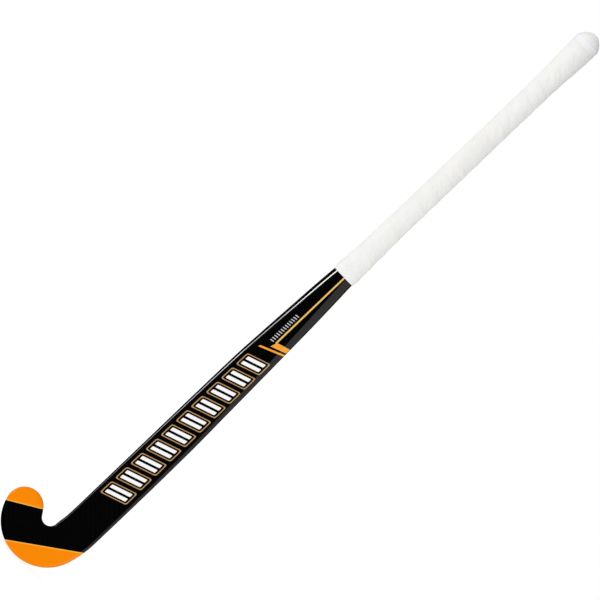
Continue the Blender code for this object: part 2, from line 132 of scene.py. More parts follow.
# The wound grip: one turn's rise, how far the overlap stands up, and how far the whole ribbon sinks
PITCH = 0.0221
EVEN_ROWS = 16
EDGE_ROWS = 5
LAST_EDGE_ROW = 0.98
HANDLE_STEPS = 34
OVERLAP = 0.00040
SINK = 0.00015
RELIEF_START = 0.001
RELIEF_FADE = 0.012
RIBBON_TOP = 0.90524

# Its rumples and slack: their noise is scaled by these through the handle and along the ribbon's pull
RUMPLE = 0.00013
RUMPLE_SCALE = 170.0
SLACK_SCALE = 55.0
SLACK_MEAN = 0.8
SLACK_SWING = 0.6
PULL_THROUGH = 0.5
PULL_ALONG = 0.3

# Shares of one turn: the low side's rise, the overlap, the ribbon's edge, and the painted shade in the crease
# at its foot
LOW_RISE = 0.18
LOW_RISE_END = 0.10
OVERLAP_START = 0.62
OVERLAP_FULL = 0.76
EDGE_START = 0.84
EDGE_LIP = 0.1
EDGE_LIP_POWER = 8
CREASE_SHADE_REACH = 0.09
CREASE_SHADE_RETURN = 0.985

# The end tape: its gap to the wrap and to the shell at its foot, and its thinned edges
TAPE_GAP = 0.00003
TAPE_FOOT_GAP = 0.0001
TAPE_SETTLED = 0.0004
TAPE_EDGE = 0.2
TAPE_EDGE_LENGTH = 0.0016

# The floor just under the head, the height that the printed marks are measured from, and the camera
FLOOR = -0.7142
MARK_FOOT = -0.7149
VIEW_ANGLE = math.radians(43.73)
VIEW_CENTRE = Vector((-0.0161, 0.0, -0.2598))
VIEW_WIDTH = 0.7149
VIEW_DISTANCE = 5.0
SENSOR_WIDTH = 36.0

# The printed colours, as reflectance
BLACK_DEEP = (0.0005, 0.0005, 0.0006, 1.0)
BLACK_TOW = (0.0022, 0.0022, 0.0024, 1.0)
ORANGE = (1.0, 0.262, 0.0, 1.0)
PALE_ORANGE = (1.0, 0.48, 0.06, 1.0)
AMBER = (0.95, 0.39, 0.035, 1.0)
PALE_GOLD = (0.86, 0.53, 0.15, 1.0)
GOLD = (0.50, 0.29, 0.12, 1.0)
WHITE = (0.97, 0.97, 0.98, 1.0)
TICK_GREY = (0.60, 0.60, 0.62, 1.0)

# Where the prints lie: x and height above MARK_FOOT, with headings along their borders
PRINT_SHARPNESS = 20000.0
FACE_SHARPNESS = 40.0
TOE_PANEL_POINT = (-0.0872, 0.0378)
TOE_PANEL_HEADING = (0.0384, 0.0239)
TOE_PANEL_LIMIT = -0.0340
HEEL_PANEL_POINT = (0.0217, 0.0604)
HEEL_PANEL_HEADING = (-0.0749, -0.0551)
BORDER_WIDTH = 0.0012
ROW_SLANT = -0.36
ROW_START = 0.128
ROW_PITCH = 0.0246
ROW_COUNT = 10
ROW_MIDDLE = 0.0008
ROW_HALF_WIDTH = 0.0173
ROW_NARROWING = -0.0073
FRAME_HALF_LENGTH = 0.0096
FRAME_ROUNDING = 0.004
KEYLINE_WIDTH = 0.0012
BAR_MIDDLE = 0.0039
BAR_HALF_WIDTH = 0.0023
BAR_MARGIN = 0.0036
BAR_ROUNDING = 0.0012
LINE_MIDDLE = 0.0015
LINE_HALF_WIDTH = 0.00100
EDGE_LINE_START = 0.4550
EDGE_LINE_FACING = 0.975
LINE_START = 0.3985
THICK_BAR_FOOT = (-0.0004, 0.3914)
THICK_BAR_LOWER = (0.0178, 0.0072)
THICK_BAR_TOP = (0.0020, 0.4001)
THICK_BAR_UPPER = (0.0160, 0.0052)
THICK_BAR_END = (0.0024, 0.0087)
THIN_BAR_FOOT = (-0.0104, 0.3825)
THIN_BAR_HEADING = (0.0301, 0.0132)
THIN_BAR_HALF_WIDTH = 0.00115
TICK_SLANT = -0.20
TICK_START = 0.397
TICK_PITCH = 0.00346
TICK_COUNT = 13
TICK_MIDDLE = -0.0044
TICK_HALF_HEIGHT = 0.0024
TICK_HALF_WIDTH = 0.0006

# The other materials' colours, the widths of the tows in the weaves, and how fast wear fades upwards
GRIP_PALE = (0.912, 0.908, 0.892, 1.0)
GRIP_SMUDGED = (0.835, 0.830, 0.808, 1.0)
# Painted shade for the crease at the foot of each overlap of the grip
GRIP_CREASE_SHADE = (0.60, 0.59, 0.56, 1.0)
TAPE_CLEAN = (0.905, 0.902, 0.890, 1.0)
TAPE_DUSTY = (0.855, 0.852, 0.840, 1.0)
SKIRT_PALE = (0.890, 0.891, 0.914, 1.0)
SKIRT_DARKER = (0.862, 0.863, 0.886, 1.0)
DOME_PALE = (0.885, 0.880, 0.860, 1.0)
DOME_DARKER = (0.850, 0.845, 0.825, 1.0)
BASE_TAPE_PALE = (0.72, 0.65, 0.48, 1.0)
BASE_TAPE_DARKER = (0.60, 0.53, 0.38, 1.0)
CORE_PALE = (0.86, 0.77, 0.52, 1.0)
CORE_DARK = (0.62, 0.50, 0.28, 1.0)
FOAM_PALE = (0.90, 0.82, 0.60, 1.0)
FOAM_DARK = (0.70, 0.58, 0.36, 1.0)
ARAMID_DARK = (0.55, 0.38, 0.08, 1.0)
ARAMID_PALE = (0.80, 0.62, 0.20, 1.0)
LAMINATE_DARK = (0.010, 0.010, 0.011, 1.0)
LAMINATE_PALE = (0.045, 0.045, 0.050, 1.0)
PLUG_DARK = (0.025, 0.025, 0.027, 1.0)
PLUG_PALE = (0.045, 0.045, 0.048, 1.0)
COLLAR_DARK = (0.18, 0.18, 0.19, 1.0)
COLLAR_PALE = (0.26, 0.26, 0.27, 1.0)
SHELL_TOW = 0.0021
WEAR_FADE = 18.0
ARAMID_TOW = 0.0016
LAMINATE_TOW = 0.0024
BASE_TAPE_TOW = 0.0006

# The panel that the heel's side mirrors. Directions are angles round the stick from the camera's side, above 0
# on the heel's side. In directions that rise, the panel starts later and is dimmer.
PANEL_START = math.radians(14)
PANEL_START_SHARPNESS = 18.0
PANEL_END = math.radians(114)
PANEL_END_SHARPNESS = 1.9
PANEL_LEVEL = 0.72
PANEL_TOP = 0.45
PANEL_TOP_SHARPNESS = 6.0
PANEL_LATER = math.radians(16)
PANEL_LATER_SHARPNESS = 25.0
PANEL_DIMMING = 2.6

# The strip that the toe's side mirrors. A grid lets its light out square to it only. It brightens upwards to
# STRIP_FULL, and it has a dimmer stretch.
STRIP_MIDDLE = math.radians(-78)
STRIP_DISTANCE = 0.90
STRIP_WIDTH = 0.215
STRIP_FOOT = -0.68
STRIP_FULL = -0.30
STRIP_TOP = -0.172
STRIP_LEVEL = 25.0
STRIP_FALL = 1.6
STRIP_GRID = 40.0
STRIP_OPENING = 0.02
STRIP_DIP_MIDDLE = -0.287
STRIP_DIP_REACH = 0.058
STRIP_DIP_EDGE = 0.032
STRIP_DIP = 0.54

# The dark card beside the butt, the floor, and the soft light with its brighter side
FLAG_PLACE = (0.22, -0.04, 0.24)
FLAG_SIZE = (0.26, 0.21)
FLOOR_REACH = 40.0
FLOOR_GLOW = 0.72
LIGHT = (1.0, 1.0, 1.0, 1.0)
SOFT_LEVEL = 0.872
SOFT_SLOPE = 0.335
SOFT_SIDE = (-0.755, -0.604, -0.252)


# ---------------------------------------------------------------- the stick's shape

def blend(rows, s):
    """The row of a table at s, on a smooth curve through its rows that doesn't overshoot them."""
    if s <= rows[0][0]:
        return rows[0][1:]
    if s >= rows[-1][0]:
        return rows[-1][1:]
    k = max(i for i in range(len(rows) - 1) if rows[i][0] <= s)
    span = rows[k + 1][0] - rows[k][0]
    t = (s - rows[k][0]) / span
    found = []
    for column in range(1, len(rows[0])):
        low = rows[k][column]
        high = rows[k + 1][column]
        start = slope_at(rows, k, column) * span
        end = slope_at(rows, k + 1, column) * span
        found.append(
            low * (1 + 2 * t) * (1 - t) ** 2
            + start * t * (1 - t) ** 2
            + high * t * t * (3 - 2 * t)
            - end * t * t * (1 - t)
        )
    return tuple(found)


def slope_at(rows, k, column):
    """The curve's slope at row k: none at the ends or where the column turns back."""
    if k in (0, len(rows) - 1):
        return 0.0
    before = (rows[k][column] - rows[k - 1][column]) / (rows[k][0] - rows[k - 1][0])
    after = (rows[k + 1][column] - rows[k][column]) / (rows[k + 1][0] - rows[k][0])
    if before * after <= 0:
        return 0.0
    return 2 * before * after / (before + after)


def direction(angle):
    return Vector((math.cos(angle), math.sin(angle)))


def bow():
    """The centreline's curvature and its lean at the head, for a chord that is upright."""
    curved = BOW_END - BOW_START
    above = LENGTH - BOW_END
    reach = curved * (curved / 2 + above) / LENGTH
    curvature = BOW_HEIGHT / (reach * BOW_START + reach * reach / 2)
    return curvature, curvature * reach


CURVATURE, HEAD_LEAN = bow()


def centreline(s):
    """Where the centreline is at s, as y and z above the chord's foot, and how far it leans towards +y."""
    along = min(s, BOW_START)
    y = along * math.sin(HEAD_LEAN)
    z = along * math.cos(HEAD_LEAN)
    lean = HEAD_LEAN
    if s > BOW_START:
        curved = min(s, BOW_END) - BOW_START
        lean = HEAD_LEAN - CURVATURE * curved
        y += (math.cos(lean) - math.cos(HEAD_LEAN)) / CURVATURE
        z += (math.sin(HEAD_LEAN) - math.sin(lean)) / CURVATURE
    if s > BOW_END:
        y += (s - BOW_END) * math.sin(lean)
        z += (s - BOW_END) * math.cos(lean)
    return y, z, lean


ORIGIN_Y, ORIGIN_Z, HANDLE_LEAN = centreline(GRIP_CENTRE)


def bend(x, y, s):
    """The point of the finished stick for a point of the straight one."""
    centre_y, centre_z, lean = centreline(s)
    return Vector((
        x,
        centre_y - ORIGIN_Y + y * math.cos(lean),
        centre_z - ORIGIN_Z - y * math.sin(lean),
    ))


HEEL_CENTRE = Vector((HEEL_HALF_WIDTH - HEEL_RADIUS, HEEL_START))
HEAD_CENTRE = HEEL_CENTRE + (HEEL_RADIUS - HEAD_RADIUS) * direction(-HEEL_TURN)
TOE_CENTRE = HEAD_CENTRE + (HEAD_RADIUS - TOE_RADIUS) * direction(TOE_START)
FAN_END = TOE_END - math.pi
TOE_AXIS = direction(FAN_END - math.pi / 2)
THROAT_CENTRE = TOE_CENTRE + (TOE_RADIUS + THROAT_RADIUS) * direction(TOE_END) - THROAT_STRAIGHT * TOE_AXIS
OUTER_ARCS = (
    (HEEL_CENTRE, HEEL_RADIUS, -HEEL_TURN, 0.0),
    (HEAD_CENTRE, HEAD_RADIUS, TOE_START - 2 * math.pi, -HEEL_TURN),
    (TOE_CENTRE, TOE_RADIUS, TOE_END - 2 * math.pi, TOE_START - 2 * math.pi),
)


def outer_edge(start, heading, inset):
    """Where a line from inside the head meets the outline's heel, sole or toe, moved in by inset."""
    reached = 0.0
    for centre, radius, low, high in OUTER_ARCS:
        offset = start - centre
        along = offset.dot(heading)
        under = along * along - offset.length_squared + (radius - inset) ** 2
        if under < 0:
            continue
        reach = math.sqrt(under) - along
        hit = start + reach * heading - centre
        angle = math.atan2(hit.y, hit.x)
        turned = angle if angle <= 0 else angle - 2 * math.pi
        if low - 1e-6 <= turned <= high + 1e-6:
            reached = max(reached, reach)
    return start + reached * heading


class Station:
    """A line across the stick from its toe-side edge to its heel-side edge, with its depths."""

    def __init__(self, near, far, depths, inset, full_width=None, at_toe=False):
        front, back, corner_width, corner_depth = depths
        self.near = near
        self.far = far
        self.front = front - inset
        self.back = back - inset
        self.edge = corner_depth - front
        self.corner_width = max(corner_width - inset, LEAST_CORNER)
        self.corner_depth = self.edge + self.front
        self.inset = inset
        self.width = (far - near).length
        self.full_width = full_width or self.width
        self.at_toe = at_toe

    def depth_from_edge(self, share):
        """How far a point at this share of the width is from the outline."""
        nearest = min(share, 1 - share) * self.width
        if self.at_toe:
            point = self.near + share * (self.far - self.near)
            nearest = min(nearest, TOE_RADIUS - self.inset - (point - TOE_CENTRE).length)
        return max(nearest, 0.0)

    def point(self, share, on_back):
        """The surface at a share of the width, on the playing face's side or on the back."""
        from_edge = self.depth_from_edge(share)
        if on_back:
            left = 1 - min(from_edge / (self.full_width / 2), 1)
            y = self.edge + (self.back - self.edge) * math.sqrt(1 - left * left)
        else:
            left = 1 - min(from_edge / self.corner_width, 1)
            y = self.edge - self.corner_depth * math.sqrt(1 - left * left)
        place = self.near + share * (self.far - self.near)
        return bend(place.x, y, place.y)


def shaft_station(s, across, through):
    """A level section at s, its sides moved in by across, and its front and back by through."""
    toe, heel, front, back, corner_width, corner_depth = blend(SHAFT, s)
    near = Vector((across - toe, s))
    far = Vector((heel - across, s))
    if s < HEEL_START:
        far = outer_edge(Vector((0.0, s)), direction(0.0), across)
    station = Station(near, far, (front, back, corner_width, corner_depth), through)
    station.corner_width = max(corner_width - across, LEAST_CORNER)
    return station


def head_depths(share):
    """The section's depths a share of the way from the throat to the toe."""
    front, back, corner_width, corner_depth = SHAFT[0][3:]
    return front, back + share * (TOE_BACK_DEPTH - back), corner_width, corner_depth


def head_stations(inset, toe_steps, fan_steps):
    """Sections from the toe's tip round the throat to the foot of the shaft."""
    found = []
    last_centre = THROAT_CENTRE + THROAT_STRAIGHT * TOE_AXIS
    toe_foot = last_centre + (THROAT_RADIUS + inset) * direction(FAN_END)
    full_width = (outer_edge(TOE_CENTRE, direction(FAN_END), inset) - toe_foot).length
    for step in range(toe_steps, 0, -1):
        angle = TOE_LAST_ANGLE * step / toe_steps
        middle = TOE_CENTRE + (TOE_RADIUS - inset) * math.sin(angle) * TOE_AXIS
        near = middle + (TOE_RADIUS - inset) * math.cos(angle) * direction(TOE_END)
        far = outer_edge(middle, direction(FAN_END), inset)
        found.append(Station(near, far, head_depths(1.0), inset, full_width, True))
    for step in range(STRAIGHT_STEPS, 0, -1):
        centre = THROAT_CENTRE + step / STRAIGHT_STEPS * THROAT_STRAIGHT * TOE_AXIS
        near = centre + (THROAT_RADIUS + inset) * direction(FAN_END)
        found.append(Station(near, outer_edge(near, direction(FAN_END), inset), head_depths(1.0), inset))
    for step in range(fan_steps, 0, -1):
        share = step / fan_steps
        heading = direction(FAN_END * share)
        near = THROAT_CENTRE + (THROAT_RADIUS + inset) * heading
        found.append(Station(near, outer_edge(near, heading, inset), head_depths(share), inset))
    return found


def evenly(low, high, step):
    """Heights from low to high, evenly spaced, about step apart."""
    count = max(1, math.ceil((high - low) / step))
    return [low + (high - low) * k / count for k in range(count + 1)]


def ring_places(corner):
    """The (share, on back) places round a section, across the playing face and back again behind."""
    rounded = [corner * (1 - math.cos(math.pi / 2 * k / CORNER_STEPS)) for k in range(CORNER_STEPS + 1)]
    level = [corner + (1 - 2 * corner) * k / FLAT_STEPS for k in range(1, FLAT_STEPS)]
    front = rounded + level + [1 - share for share in reversed(rounded)]
    back = [0.5 + 0.5 * math.cos(math.pi * k / BACK_STEPS) for k in range(1, BACK_STEPS)]
    return [(share, False) for share in front] + [(share, True) for share in back]


def full_ring(station):
    places = ring_places(station.corner_width / station.full_width)
    return [station.point(share, on_back) for share, on_back in places]


def layer_station(s, offset):
    """A section of the handle at s, offset outwards from the shell, with the butt's flare."""
    extra_width, extra_depth = blend(FLARE, s)
    return shaft_station(s, -offset - extra_width, -offset - extra_depth)


def wrap_offset(s):
    """How far the wrap's inner side stands off the shell: closer at its foot, which has no base tape."""
    share = min(max((s - GRIP_BOTTOM) / (WRAP_SETTLED - GRIP_BOTTOM), 0.0), 1.0)
    return GAP + (WRAP_INSET - GAP) * share


def smooth_step(low, high, value):
    t = min(max((value - low) / (high - low), 0.0), 1.0)
    return t * t * (3 - 2 * t)


# ---------------------------------------------------------------- meshes and pieces

def lofted(name, rings, close_first=False, close_last=False, round_again=False):
    """A mesh whose surface runs through the rings in turn, with its ends closed, open or joined."""
    shape = bmesh.new()
    rows = [[shape.verts.new(point) for point in ring] for ring in rings]
    pairs = list(zip(rows, rows[1:]))
    if round_again:
        pairs.append((rows[-1], rows[0]))
    for lower, upper in pairs:
        for k in range(len(lower)):
            after = (k + 1) % len(lower)
            shape.faces.new((lower[k], lower[after], upper[after], upper[k]))
    if close_first:
        shape.faces.new(rows[0])
    if close_last:
        shape.faces.new(rows[-1])
    bmesh.ops.recalc_face_normals(shape, faces=shape.faces)
    mesh = bpy.data.meshes.new(name)
    shape.to_mesh(mesh)
    shape.free()
    return mesh


def piece(name, mesh, material, slot, *nodes):
    """One shown piece that stands for some CAD nodes, rides on the stick and takes its material. The slot
    argument is not used.
    """
    made = bpy.data.objects.new(name, mesh)
    bpy.context.scene.collection.objects.link(made)
    mesh.materials.append(material)
    mesh.shade_smooth()
    mesh.set_sharp_from_angle(angle=SHARP_ANGLE)
    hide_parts(*nodes)
    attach(made, "root")
    return made


def shell():
    """The lacquered skin, hollow, closed round the toe and open at the butt."""
    outer = [full_ring(station) for station in head_stations(0.0, TOE_STEPS, FAN_STEPS)]
    for s in evenly(SHAFT[0][0], SHELL_TOP, SHAFT_STEP):
        outer.append(full_ring(shaft_station(s, 0.0, 0.0)))
    inner = [full_ring(station) for station in head_stations(SHELL_WALL, TOE_STEPS // 2, FAN_STEPS // 2)]
    for s in evenly(SHAFT[0][0], SHELL_TOP, INNER_STEP):
        inner.append(full_ring(shaft_station(s, SHELL_WALL, SHELL_WALL)))
    mesh = lofted("shell", outer + inner[::-1], close_first=True, close_last=True)
    piece("shell", mesh, lacquer(), "lacquer", "laminate_shell")


def turn_profile(share):
    """How far the wound ribbon stands up at a share of one turn, up to 1 on the overlap."""
    rise = LOW_RISE * smooth_step(0.0, LOW_RISE_END, share)
    rise += (1 - LOW_RISE) * smooth_step(OVERLAP_START, OVERLAP_FULL, share)
    drop = max(0.0, (share - EDGE_START) / (1 - EDGE_START))
    return rise * (1 - (1 - EDGE_LIP) * drop ** 2 - EDGE_LIP * drop ** EDGE_LIP_POWER)


def crease(share):
    """How deep in the crease at the foot of the overlap a share of one turn lies, from 0 to 1, which sets how
    much painted shade the crease gets.
    """
    past = max(0.0, 1 - share / CREASE_SHADE_REACH) ** 2
    return past + max(0.0, (share - CREASE_SHADE_RETURN) / (1 - CREASE_SHADE_RETURN))


def turn_shares():
    """Where the rows of one turn lie: even up to the ribbon's edge, and close together round it."""
    shares = [EDGE_START * k / EVEN_ROWS for k in range(EVEN_ROWS)]
    width = LAST_EDGE_ROW * (1 - EDGE_START)
    return shares + [EDGE_START + width * math.sin(math.pi / 2 * k / EDGE_ROWS) for k in range(EDGE_ROWS)]


def handle_places():
    """The (share, on back) places round the handle, closer together at its sides."""
    shares = [0.5 - 0.5 * math.cos(math.pi * k / HANDLE_STEPS) for k in range(HANDLE_STEPS + 1)]
    return [(share, False) for share in shares] + [(share, True) for share in shares[-2:0:-1]]


def wrap_outside(s):
    """How far the wrap's smooth outer side stands off the shell: its skived lower end starts thin."""
    thick = WRAP_FOOT + (1 - WRAP_FOOT) * smooth_step(GRIP_BOTTOM, GRIP_BOTTOM + WRAP_FOOT_LENGTH, s)
    return wrap_offset(s) + WRAP * thick


def layer_ring(s, offset):
    station = layer_station(s, offset)
    return [station.point(*place) for place in handle_places()]


def ribbon_vertex(shape, crease_shade_weights, place, s, share):
    """A point of the ribbon's outer side, held between the grip's two ends, which also carries how much
    painted shade its crease gets.
    """
    held = min(max(s, GRIP_BOTTOM), RIBBON_TOP)
    fade = smooth_step(END_TAPE_TOP - RELIEF_START, END_TAPE_TOP + RELIEF_FADE, held)
    fade *= 1 - smooth_step(RIBBON_TOP - RELIEF_FADE, RIBBON_TOP, held)
    smooth = layer_station(held, wrap_outside(held)).point(*place)
    pulled = Vector((smooth.x + smooth.z, PULL_THROUGH * smooth.y, PULL_ALONG * (smooth.z - smooth.x)))
    slack = SLACK_MEAN + SLACK_SWING * noise.noise(smooth * SLACK_SCALE)
    lift = OVERLAP * slack * turn_profile(share) - SINK + RUMPLE * noise.noise(pulled * RUMPLE_SCALE)
    made = shape.verts.new(layer_station(held, wrap_outside(held) + fade * lift).point(*place))
    # The weight of the painted shade in the crease, kept for the grip's colour
    made[crease_shade_weights] = fade * crease(share)
    return made


def turn_fractions(places):
    """How far round the handle each place is, so that a turn rises evenly towards the toe's side."""
    station = layer_station(GRIP_CENTRE, wrap_outside(GRIP_CENTRE))
    ring = [station.point(*place) for place in places]
    steps = [(ring[(k + 1) % len(ring)] - ring[k]).length for k in range(len(ring))]
    return [1 - sum(steps[:k]) / sum(steps) for k in range(len(ring))]


def wound_grip():
    """The cushioned ribbon wound up the handle, each turn lapping over the one below, as one body."""
    places = handle_places()
    around = turn_fractions(places)
    shares = turn_shares()
    turns = math.ceil((RIBBON_TOP - GRIP_BOTTOM) / PITCH) + 1
    last = len(places) - 1
    shape = bmesh.new()
    # A layer for how much painted shade each point's crease gets
    crease_shade_weights = shape.verts.layers.float.new("crease")
    rows = []
    for turn in range(-1, turns):
        for share in shares:
            heights = [GRIP_BOTTOM + PITCH * (turn + share + part) for part in around]
            rows.append([ribbon_vertex(shape, crease_shade_weights, place, s, share) for place, s in zip(places, heights)])
    for lower, upper in zip(rows, rows[1:]):
        for k in range(last):
            shape.faces.new((lower[k], lower[k + 1], upper[k + 1], upper[k]))
    for j in range(len(shares), len(rows) - 1):
        below = j - len(shares)
        shape.faces.new((rows[j][last], rows[below][0], rows[below + 1][0], rows[j + 1][last]))
    inside = [layer_ring(s, wrap_offset(s)) for s in evenly(GRIP_BOTTOM, RIBBON_TOP, LINING_STEP)]
    lining = [layer_ring(GRIP_BOTTOM, wrap_outside(GRIP_BOTTOM))] + inside
    lining.append(layer_ring(RIBBON_TOP, wrap_outside(RIBBON_TOP)))
    linings = [[shape.verts.new(point) for point in ring] for ring in lining]
    for lower, upper in zip(linings, linings[1:]):
        for k in range(last + 1):
            after = (k + 1) % (last + 1)
            shape.faces.new((lower[k], lower[after], upper[after], upper[k]))
    bmesh.ops.remove_doubles(shape, verts=shape.verts, dist=WELD_DISTANCE)
    bmesh.ops.recalc_face_normals(shape, faces=shape.faces)
    mesh = bpy.data.meshes.new("grip")
    shape.to_mesh(mesh)
    shape.free()
    grip = piece("grip", mesh, grip_leather(), "grip", "grip_wrap")


def end_tape():
    """The narrow tape that holds the wrap's lower end, pulled down on to the shell at its foot."""
    inner = []
    outer = []
    for s in evenly(END_TAPE_BOTTOM, END_TAPE_TOP, TAPE_STEP):
        settled = smooth_step(END_TAPE_BOTTOM, GRIP_BOTTOM + TAPE_SETTLED, s)
        on_wrap = wrap_outside(max(s, GRIP_BOTTOM)) + TAPE_GAP
        offset = TAPE_FOOT_GAP + settled * (on_wrap - TAPE_FOOT_GAP)
        from_end = min(s - END_TAPE_BOTTOM, END_TAPE_TOP - s)
        thick = TAPE_EDGE + (1 - TAPE_EDGE) * smooth_step(0.0, TAPE_EDGE_LENGTH, from_end)
        inner.append(layer_ring(s, offset))
        outer.append(layer_ring(s, offset + END_TAPE * thick))
    mesh = lofted("end_tape", outer + inner[::-1], round_again=True)
    piece("end_tape", mesh, vinyl_tape(), "end_tape", "grip_end_tape")


def cap_profile():
    """The cap's (radius, height) pairs from its flat top down to the spigot's foot."""
    top = LENGTH - SHELL_TOP - GAP
    rise = top - DOME_FOOT
    lowest = math.asin((CAP_SKIRT + BEAD_HALF_HEIGHT - DOME_FOOT) / rise)
    profile = [(DIMPLE_RADIUS / 2, top - DIMPLE_DEPTH), (DIMPLE_RADIUS, top - DIMPLE_DEPTH)]
    profile += [(DIMPLE_RADIUS + DIMPLE_DEPTH, top), (2 * DIMPLE_RADIUS, top)]
    for k in range(DOME_STEPS + 1):
        angle = math.pi / 2 + (lowest - math.pi / 2) * k / DOME_STEPS
        nearest = min(abs(angle - groove) for groove in GROOVES)
        sunk = GROOVE_DEPTH * (1 - smooth_step(0.0, GROOVE_HALF_WIDTH, nearest))
        radius = CAP_FLAT + (CAP_RADIUS - CAP_FLAT) * max(math.cos(angle), 0.0) ** DOME_FULLNESS
        profile.append((radius - sunk, DOME_FOOT + rise * math.sin(angle)))
    for k in range(1, BEAD_STEPS + 1):
        swing = math.pi * k / BEAD_STEPS
        height = CAP_SKIRT + BEAD_HALF_HEIGHT * math.cos(swing)
        profile.append((CAP_RADIUS + BEAD * math.sin(swing), height))
    profile += [(CAP_RADIUS, height) for height in SKIRT_ROWS]
    for k in range(EDGE_STEPS + 1):
        swing = math.pi / 2 * k / EDGE_STEPS
        inwards = EDGE_RADIUS * (1 - math.cos(swing))
        profile.append((CAP_RADIUS - inwards, EDGE_RADIUS * (1 - math.sin(swing))))
    profile += [(SPIGOT_RADIUS + SPIGOT_FILLET, 0.0), (SPIGOT_RADIUS, -SPIGOT_FILLET)]
    profile.append((SPIGOT_RADIUS, SPIGOT_CHAMFER - SPIGOT_LENGTH))
    profile.append((SPIGOT_RADIUS - SPIGOT_CHAMFER, -SPIGOT_LENGTH))
    return profile


def end_cap():
    """The domed cap with its bead, skirt and spigot, turned about the handle's axis."""
    foot = SHELL_TOP + GAP
    angles = [2 * math.pi * k / CAP_STEPS for k in range(CAP_STEPS)]
    rings = []
    for radius, height in cap_profile():
        rings.append([bend(radius * math.cos(a), radius * math.sin(a), foot + height) for a in angles])
    piece("cap", lofted("cap", rings, True, True), moulded_cap(), "cap", "end_cap")


# ---------------------------------------------------------------- materials

class Nodes:
    """The nodes of a material or a world, with short ways to add and join them."""

    def __init__(self, owner, shader):
        owner.use_nodes = True
        self.tree = owner.node_tree
        self.shader = self.tree.nodes[shader]

    def set(self, name, value):
        self.join(value, self.shader.inputs[name])

    def join(self, value, socket):
        if isinstance(value, bpy.types.NodeSocket):
            self.tree.links.new(value, socket)
        else:
            socket.default_value = value

    def add(self, kind, **settings):
        made = self.tree.nodes.new(kind)
        for name, value in settings.items():
            setattr(made, name, value)
        return made

    def math(self, operation, *values, clamp=False):
        made = self.add("ShaderNodeMath", operation=operation, use_clamp=clamp)
        for value, socket in zip(values, made.inputs):
            self.join(value, socket)
        return made.outputs[0]

    def times(self, first, second):
        return self.math("MULTIPLY", first, second)

    def minus(self, first, second):
        return self.math("SUBTRACT", first, second)

    def ramp(self, value, slope, start):
        """slope * value + start, held between 0 and 1."""
        return self.math("MULTIPLY_ADD", value, slope, start, clamp=True)

    def split(self, vector):
        """A vector's x, y and z."""
        parts = self.add("ShaderNodeSeparateXYZ")
        self.join(vector, parts.inputs[0])
        return parts.outputs


class Graph(Nodes):
    """One material's nodes: its patterns and its prints."""

    def __init__(self, name, roughness):
        self.material = bpy.data.materials.new(name)
        super().__init__(self.material, "Principled BSDF")
        self.set("Roughness", roughness)

    def mix(self, share, first, second):
        made = self.add("ShaderNodeMix", data_type="RGBA")
        self.join(share, made.inputs[0])
        self.join(first, made.inputs[6])
        self.join(second, made.inputs[7])
        return made.outputs[2]

    def spread(self, value, low, high):
        """low to high as value goes from 0 to 1."""
        return self.math("MULTIPLY_ADD", value, high - low, low)

    def point(self):
        """The point on the object."""
        return self.add("ShaderNodeTexCoord").outputs["Object"]

    def noise(self, point, scale, detail=3.0, roughness=0.5, stretch=None):
        if stretch:
            mapping = self.add("ShaderNodeMapping")
            mapping.inputs["Scale"].default_value = stretch
            self.join(point, mapping.inputs["Vector"])
            point = mapping.outputs[0]
        made = self.add("ShaderNodeTexNoise")
        made.inputs["Scale"].default_value = scale
        made.inputs["Detail"].default_value = detail
        made.inputs["Roughness"].default_value = roughness
        self.join(point, made.inputs["Vector"])
        return made.outputs[0]

    def cells(self, point, scale, feature="F1"):
        made = self.add("ShaderNodeTexVoronoi", feature=feature)
        made.inputs["Scale"].default_value = scale
        self.join(point, made.inputs["Vector"])
        return made.outputs["Distance"]

    def bump(self, height, distance, strength=1.0, before=None):
        made = self.add("ShaderNodeBump")
        made.inputs["Distance"].default_value = distance
        made.inputs["Strength"].default_value = strength
        self.join(height, made.inputs["Height"])
        if before is not None:
            self.join(before, made.inputs["Normal"])
        return made.outputs[0]

    def inside(self, distance):
        """1 where a signed distance is below 0, with an edge a twentieth of a millimetre soft."""
        return self.ramp(distance, -PRINT_SHARPNESS, 0.5)

    def outline(self, distance, width):
        """Below 0 in a border of this width just inside where distance is below 0."""
        return self.both(distance, self.math("MULTIPLY_ADD", distance, -1.0, -width))

    def beyond(self, x, height, point, heading):
        """The signed distance to the line through a point along a heading, above 0 on its left."""
        length = math.hypot(*heading)
        across = -heading[1] / length
        up = heading[0] / length
        offset = point[0] * across + point[1] * up
        return self.math("MULTIPLY_ADD", x, across, self.math("MULTIPLY_ADD", height, up, -offset))

    def both(self, first, second):
        return self.math("MAXIMUM", first, second)

    def band(self, distance, middle, half_width):
        """Below 0 within half_width of where distance is middle."""
        return self.minus(self.math("ABSOLUTE", self.minus(distance, middle)), half_width)

    def span(self, distance, length):
        """Below 0 where distance is between 0 and length."""
        return self.band(distance, length / 2, length / 2)

    def twill(self, point, tow):
        """1 on the tows of a two-by-two twill weave that run one way and 0 on the others."""
        x, y, z = self.split(point)
        column = self.math("FLOOR", self.math("DIVIDE", self.math("ADD", x, y), tow))
        row = self.math("FLOOR", self.math("DIVIDE", z, tow))
        turn = self.math("FLOORED_MODULO", self.math("ADD", column, row), 4.0)
        return self.math("LESS_THAN", turn, 1.5)


def panel_colours(graph, x, height, colour):
    """The toe's and the heel's orange panels, each with a paler line along its border."""
    for point, heading, limit in (
        (TOE_PANEL_POINT, TOE_PANEL_HEADING, TOE_PANEL_LIMIT),
        (HEEL_PANEL_POINT, HEEL_PANEL_HEADING, None),
    ):
        within = graph.times(graph.beyond(x, height, point, heading), -1.0)
        if limit is not None:
            within = graph.both(within, graph.minus(x, limit))
        colour = graph.mix(graph.inside(within), colour, ORANGE)
        border = graph.outline(within, BORDER_WIDTH)
        colour = graph.mix(graph.inside(border), colour, PALE_ORANGE)
    return colour


